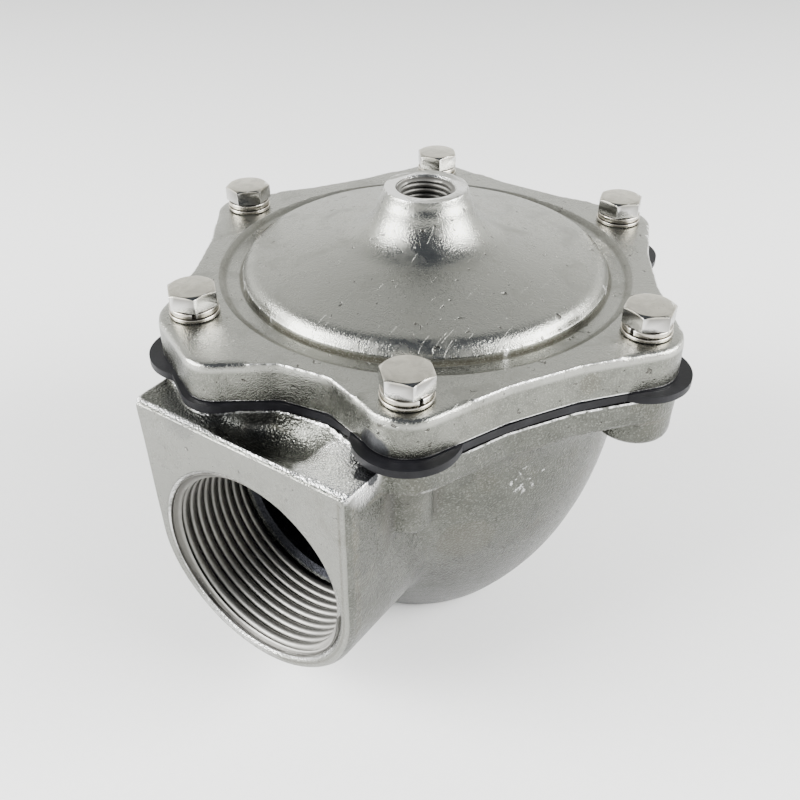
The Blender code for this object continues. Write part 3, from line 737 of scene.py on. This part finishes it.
# Pipe threads: cut into the bores of inlet, outlet and pilot port. Each is one helical ridge with
# rounded crests that starts in the countersink and runs out at its far end.
def thread_finish():
    """Freshly cut aluminium: brighter and smoother than the casting, with painted shade in the grooves
    and painted shade deepening with height and towards -X.
    """
    f = Finish("cut_thread", metallic=1.0)
    point = f.node("NewGeometry", output="Pointiness")
    crest = f.step(point, 0.49, 0.54)
    smear = f.noise(3, 3, 0.6)
    grain = f.noise(0.35, 2, 0.6)
    # Pale crests, dark grooves: painted shade in the grooves.
    colour = f.mix(crest, (0.10, 0.097, 0.09), (0.34, 0.335, 0.315))
    colour = f.mix(f.step(smear, 0.45, 0.75) * 0.4, colour, (0.20, 0.195, 0.18))
    x, _, z = f.parts()
    # Painted shade: darker with height and towards -X, over the bores' upper left.
    shaded = f.step(z - x, 22.0, 55.0)
    colour = f.mix(shaded * 0.6, colour, (0.11, 0.107, 0.097))
    rough = 0.40 + 0.16 * smear + 0.08 * grain
    normal = f.bump(grain, 0.05)
    return f.surface(base_color=colour, roughness=rough, normal=normal)


def thread(name, root, crest, pitch, turns, mouth, material):
    """A ridge inside a bore on Z, its first turn trimmed by the countersink at height 0."""
    # The ridge's section: along in shares of the pitch, up in shares of the depth.
    across = ((-0.48, 0.0), (-0.41, 0.5), (-0.33, 0.84), (-0.19, 0.97), (0.0, 1.0), (0.19, 0.97))
    across += ((0.33, 0.84), (0.41, 0.5), (0.48, 0.0))
    profile = [(root - (root - crest) * h, 0, pitch * t) for t, h in across]
    profile = [(root + 0.25, 0, -0.48 * pitch)] + profile + [(root + 0.25, 0, 0.48 * pitch)]
    ridge = drawn(name, profile, False)
    steps = {"steps": 96, "render_steps": 96, "iterations": turns}
    applied(ridge, "SCREW", screw_offset=pitch * MM, axis="Z", use_merge_vertices=False, **steps)
    bpy.ops.object.mode_set(mode="EDIT")
    bpy.ops.mesh.select_all(action="DESELECT")
    bpy.ops.mesh.select_non_manifold()
    bpy.ops.mesh.edge_face_add()
    finish_edit(1e-7)
    at = places(ridge)
    radius = np.hypot(at[:, 0], at[:, 1])
    bevel_r = mouth - MOUTH_SLOPE * np.abs(at[:, 2])
    last = turns * pitch
    fade = np.clip((at[:, 2] - last + 0.6 * pitch) / pitch, 0, 1)
    wanted = np.maximum(radius, np.minimum(bevel_r, root + 0.2))
    wanted = np.maximum(wanted, root - (root - crest) * (1 - fade))
    low = np.maximum(at[:, 2], 0.02)
    at[:, :2] *= (wanted / radius)[:, None]
    at[:, 2] = low
    ridge.data.vertices.foreach_set("co", (at * MM).ravel())
    return smooth(ridge, material, 50)


cut = thread_finish()
pipe_thread = {"root": PIPE_ROOT_R, "crest": 22.43, "pitch": 2.309, "mouth": MOUTH_R}
pilot_size = {"root": PILOT_ROOT_R, "crest": 5.75, "pitch": 1.337, "mouth": PILOT_ROOT_R + 0.7}
inlet_thread = thread("inlet_thread", turns=10, material=cut, **pipe_thread)
moved(inlet_thread, y=BLOCK_FRONT, z=BORE_Z, tilt=-90)
outlet_thread = thread("outlet_thread", turns=8, material=cut, **pipe_thread)
pilot_thread = thread("pilot_thread", turns=7, material=cut, **pilot_size)
moved(pilot_thread, z=PILOT_TOP, tilt=180)
for piece in (inlet_thread, outlet_thread, pilot_thread):
    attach(piece, "housing")


# Diaphragm: one black rubber moulding clamped between body and cover. A round ear stands out at
# each bolt, and inside the flanges the membrane steps down to its flat centre, which lifts in the valve
# but is built here at rest.
RUBBER_LOW = 72.6
RUBBER_T = 1.8
EAR_R = 11.2
MEMBRANE_LOW = 70.1
MEMBRANE_T = 1.5
STEP_R = 36.0
CLAMP_R = 41.0


def moulded_rubber():
    """Black, half matt, with a faint bloom and dust."""
    f = Finish("moulded_rubber", metallic=0.0, specular_ior_level=0.13)
    bloom = f.noise(9, 3, 0.6)
    dust = f.noise(0.8, 2, 0.7)
    colour = f.mix(f.step(bloom, 0.4, 0.75), (0.004, 0.004, 0.005), (0.012, 0.012, 0.014))
    colour = f.mix(f.step(dust, 0.68, 0.8) * 0.2, colour, (0.08, 0.08, 0.08))
    rough = 0.36 + 0.2 * bloom
    normal = f.bump(f.noise(0.5, 2, 0.6), 0.02)
    return f.surface(base_color=colour, roughness=rough, normal=normal)


rubber_finish = moulded_rubber()
rim = extruded("diaphragm_rubber", flange_plan(0.5, 0.4, 1.3, 12), RUBBER_LOW, RUBBER_LOW + RUBBER_T)
low, high = RUBBER_LOW + 0.05, RUBBER_LOW + RUBBER_T - 0.05
ear = extruded("ear", arc(0, 0, EAR_R, 0, 354, 59), low, high)
for angle in BOLT_ANGLES:
    combined(rim, moved(copied(ear, "bolt_ear"), *on_bolt(angle)), "UNION")
bpy.data.objects.remove(ear)
window = arc(0, 0, CLAMP_R, 0, 357, 119)
combined(rim, extruded("window", window, RUBBER_LOW - 2, RUBBER_LOW + 4))
membrane = [(CLAMP_R + 1, RUBBER_LOW + 0.15), (CLAMP_R + 1, RUBBER_LOW + RUBBER_T - 0.15)]
membrane += [(STEP_R + 0.4, RUBBER_LOW + RUBBER_T - 0.15), (STEP_R, RUBBER_LOW + RUBBER_T - 0.5)]
membrane += [(STEP_R, MEMBRANE_LOW + MEMBRANE_T), (BOLT_HOLE_R, MEMBRANE_LOW + MEMBRANE_T)]
membrane += [(BOLT_HOLE_R, MEMBRANE_LOW), (STEP_R + 1.1, MEMBRANE_LOW)]
membrane += [(STEP_R + 1.5, MEMBRANE_LOW + 0.4), (STEP_R + 1.5, RUBBER_LOW + 0.15)]
combined(rim, turned("membrane", membrane, 120), "UNION")
drilled(rim, RUBBER_LOW - 1, RUBBER_LOW + 3)
smooth(rim, rubber_finish)
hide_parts("diaphragm")
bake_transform(rim)


# Bolts: six M6 hexagon heads, nickel-plated steel with a turned chamfer and plain tops. They
# clamp cover, diaphragm and body over a spring washer and a flat washer each.
HEAD_LOW = 86.2
HEAD_H = 3.8
HEAD_FLATS = 10.0
HEX_TURNS = (38.5, 46.0, 10.0, 43.5, 19.0, 16.0)  # where tightening left each head
SHANK_R = 3.0
SHANK_LOW = 66.2
DULL_PLATE = (0.25, 0.235, 0.20)
# Painted shade for the bolt heads' flats.
SHADED_FLATS = (0.10, 0.099, 0.093)
BRIGHT_EDGE = (0.92, 0.91, 0.89)


def nickel_plate(name, tone, least, top=None):
    """Bright plating, slightly warm, with wiping marks and a few dull spots; painted shade darkens it
    below a top.
    """
    f = Finish(name, metallic=1.0)
    film = f.noise(3.2, 3, 0.6, 0.5)
    spots = f.noise(0.9, 2, 0.6)
    point = f.node("NewGeometry", output="Pointiness")
    worn = f.step(point, 0.52, 0.58)
    colour = f.mix(f.step(film, 0.35, 0.7), tone, tuple(0.82 * c for c in tone))
    colour = f.mix(f.step(spots, 0.66, 0.78) * 0.5, colour, DULL_PLATE)
    if top:
        _, _, z = f.parts()
        # Painted shade on the flats and chamfer below the head's top face.
        colour = f.mix(f.step(z, top - 0.2, top - 0.7) * 0.85, colour, SHADED_FLATS)
    colour = f.mix(worn * 0.6, colour, BRIGHT_EDGE)
    rough = least + 0.14 * film + 0.06 * spots
    normal = f.bump(film, 0.05)
    normal = f.bump(f.noise(0.3, 1, 0.5), 0.006, normal)
    return f.surface(base_color=colour, roughness=rough, normal=normal)


head_top = HEAD_LOW + HEAD_H
bolt_finish = nickel_plate("bolt_plating", (0.47, 0.45, 0.39), 0.11, head_top)
corner = HEAD_FLATS / 2 / math.cos(math.radians(30))
bolt = extruded("bolt", arc(0, 0, corner, 0, 300, 5), HEAD_LOW, head_top)
crown = [(0, HEAD_LOW - 1), (corner + 1, HEAD_LOW - 1), (corner + 1, head_top - 1.0)]
crown += [(HEAD_FLATS / 2 - 0.2, head_top), (0, head_top)]
combined(bolt, turned("crown", crown, 96), "INTERSECT")
applied(bolt, "BEVEL", width=0.14 * MM, segments=2, limit_method="ANGLE", angle_limit=0.35)
shank = [(0, SHANK_LOW), (SHANK_R - 0.8, SHANK_LOW), (SHANK_R, SHANK_LOW + 0.8)]
shank += [(SHANK_R, HEAD_LOW + 0.5), (0, HEAD_LOW + 0.5)]
combined(bolt, turned("shank", shank, 40), "UNION")
for i, angle in enumerate(BOLT_ANGLES):
    piece = copied(bolt, f"bolt_{i + 1}_nickel")
    moved(piece, *on_bolt(angle), turn=HEX_TURNS[i])
    smooth(piece, bolt_finish, 25)
    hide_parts(f"bolt_{i + 1}")
    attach(piece, "housing")
bpy.data.objects.remove(bolt)


# Washers: a split spring washer and a flat washer under each bolt head, of the same plated steel,
# with edges rounded by stamping and rolling.
FLAT_WASHER = (3.3, 5.5, 83.8, 0.8)  # inner radius, outer radius, lower face, thickness
SPRING_WASHER = (3.3, 5.3, 84.8, 1.2)
SPLIT_TURNS = (250, 40, 130, 200, 310, 330)  # where each split faces


def washer_profile(inner, outer, low, thick, ease):
    """Section of a washer with all four corners rounded."""
    high = low + thick
    profile = arc(outer - ease, low + ease, ease, -90, 0, 4)
    profile += arc(outer - ease, high - ease, ease, 0, 90, 4)
    profile += arc(inner + ease, high - ease, ease, 90, 180, 2)
    return profile + arc(inner + ease, low + ease, ease, 180, 270, 2)


washer_finish = nickel_plate("washer_plating", (0.45, 0.42, 0.36), 0.15)
flat = turned("flat_washer", washer_profile(*FLAT_WASHER, 0.18), 72)
split = turned("spring_washer", washer_profile(*SPRING_WASHER, 0.22), 70, 350)
for i, angle in enumerate(BOLT_ANGLES):
    for washer, turn in ((flat, 0), (split, SPLIT_TURNS[i])):
        node = f"{washer.name}_{i + 1}"
        piece = copied(washer, f"{node}_nickel")
        moved(piece, *on_bolt(angle), turn=turn)
        smooth(piece, washer_finish, 40)
        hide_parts(node)
        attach(piece, "housing")
bpy.data.objects.remove(flat)
bpy.data.objects.remove(split)


# Centre assembly: nylon seat disc under the diaphragm, steel backing plate on it, screw and nut
# through all of them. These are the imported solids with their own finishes.
def moulded_nylon():
    """Dark nylon with faint flow lines."""
    f = Finish("moulded_nylon", metallic=0.0)
    flow = f.noise(6, 3, 0.5, 0.8)
    colour = f.mix(flow, (0.030, 0.030, 0.034), (0.060, 0.060, 0.066))
    normal = f.bump(f.noise(0.6, 2, 0.5), 0.01)
    return f.surface(base_color=colour, roughness=0.38 + 0.16 * flow, normal=normal)


centre_finishes = {
    "seat_disc": moulded_nylon(),
    "backing_plate": nickel_plate("plate_zinc", (0.62, 0.62, 0.60), 0.28),
    "centre_screw": nickel_plate("screw_zinc", (0.64, 0.63, 0.60), 0.24),
    "centre_nut": nickel_plate("nut_zinc", (0.64, 0.63, 0.60), 0.24),
}
for node, material in centre_finishes.items():
    frame["nodes"][node].data.materials.clear()
    frame["nodes"][node].data.materials.append(material)


# Return spring: drawn steel wire, four coils with closed ends, between the backing plate and the
# cover. In the valve it shortens as the diaphragm lifts; here it is built at one length.
SPRING_R = 12.0
SPRING_WIRE = 1.4
SPRING_LOW = 73.7
SPRING_HIGH = 89.7
SPRING_TURNS = 4
WIRE_STEPS = 48


def drawn_wire():
    """Bright drawn steel with fine streaks."""
    f = Finish("drawn_wire", metallic=1.0)
    streaks = f.noise(1.6, 3, 0.6)
    colour = f.mix(streaks, (0.36, 0.36, 0.37), (0.52, 0.52, 0.52))
    normal = f.bump(f.noise(0.4, 2, 0.5), 0.01)
    return f.surface(base_color=colour, roughness=0.24 + 0.14 * streaks, normal=normal)


first = SPRING_LOW + SPRING_WIRE / 2
last = SPRING_HIGH - SPRING_WIRE / 2
end_pitch = SPRING_WIRE + 0.2
open_pitch = (last - first - 2 * end_pitch) / (SPRING_TURNS - 2)
bpy.ops.object.select_all(action="DESELECT")
wire = bpy.data.curves.new("return_spring_wire", "CURVE")
wire.dimensions = "3D"
wire.bevel_depth = SPRING_WIRE / 2 * MM
wire.bevel_resolution = 3
wire.use_fill_caps = True
coil = wire.splines.new("POLY")
coil.points.add(SPRING_TURNS * WIRE_STEPS)
for i, point in enumerate(coil.points):
    turn = i / WIRE_STEPS
    closed = min(turn, 1) + max(turn - SPRING_TURNS + 1, 0)
    z = first + closed * end_pitch + (turn - closed) * open_pitch
    (x, y), = arc(0, 0, SPRING_R, 360 * turn, 360 * turn, 1)[:1]
    point.co = (x * MM, y * MM, z * MM, 1)
spring = bpy.data.objects.new("return_spring_wire", wire)
bpy.context.scene.collection.objects.link(spring)
take(spring)
bpy.ops.object.convert(target="MESH")
spring = bpy.context.object
smooth(spring, drawn_wire())
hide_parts("return_spring")
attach(spring, "housing")
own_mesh(spring)


# Studio: a plain pale floor, a soft surround with a broad light to each side of the camera and a
# dim room behind it, and the camera at the photograph's viewing angle.
EYE = Vector((109.10, -167.96, 185.59)) * MM
LOOK_AT = Vector((32.64, -57.56, 90.0)) * MM
LENS = 41.855
SENSOR = 36.0
SOFTBOX_AWAY = 0.9
SOFTBOX_SIZE = 0.6
SOFTBOX_POWER = 28

bpy.ops.object.select_all(action="DESELECT")
bpy.ops.mesh.primitive_plane_add(size=40, location=(0, 0, -0.02 * MM))
floor = bpy.context.object
floor.name = "floor"
f = Finish("pale_floor", metallic=0.0)
fleck = f.noise(2.0, 2, 0.5)
colour = f.mix(fleck, (0.86, 0.86, 0.85), (0.90, 0.90, 0.89))
floor.data.materials.append(f.surface(base_color=colour, roughness=0.7 + 0.1 * fleck))

world = bpy.data.worlds.new("studio")
bpy.context.scene.world = world
world.use_nodes = True
toward = Vector((EYE - LOOK_AT).xy.normalized())
aside = Vector((-toward.y, toward.x))


class Surround(Finish):
    """Expressions on the world's nodes."""

    def __init__(self, made):
        self.tree = made.node_tree
        self.shader = self.tree.nodes["Background"]
        self.where = self.node("TexCoord", output="Generated")

    def along(self, direction):
        inputs = {0: self.where, 1: direction}
        return self.node("VectorMath", {"operation": "DOT_PRODUCT"}, inputs, "Value")


s = Surround(world)


def heading(side, forward, up):
    """A unit direction from sideways, towards the camera and upwards."""
    flat = aside * side + toward * forward
    return tuple(Vector((flat.x, flat.y, up)).normalized())


height = s.along((0, 0, 1))
room = s.mix(s.step(height, 0.0, 0.85), (2.5, 2.5, 2.42), (1.15, 1.16, 1.13))
dim = s.step(s.along(heading(0, 0.45, 0.89)), 0.55, 0.66)
room = s.mix(dim, room, (0.09, 0.105, 0.14))
s.feed(s.shader.inputs["Color"], room)

for side in (1, -1):
    spot = Vector(heading(side, 0.27, 0.55)) * SOFTBOX_AWAY
    bpy.ops.object.light_add(type="AREA", location=spot)
    softbox = bpy.context.object
    softbox.data.size = SOFTBOX_SIZE
    softbox.data.energy = SOFTBOX_POWER
    softbox.rotation_euler = (-spot).to_track_quat("-Z", "Y").to_euler()

bpy.ops.object.camera_add(location=EYE)
camera = bpy.context.object
camera.data.lens = LENS
camera.data.sensor_width = SENSOR
camera.data.clip_start = 0.01
camera.rotation_euler = (LOOK_AT - EYE).to_track_quat("-Z", "Y").to_euler()
bpy.context.scene.camera = camera
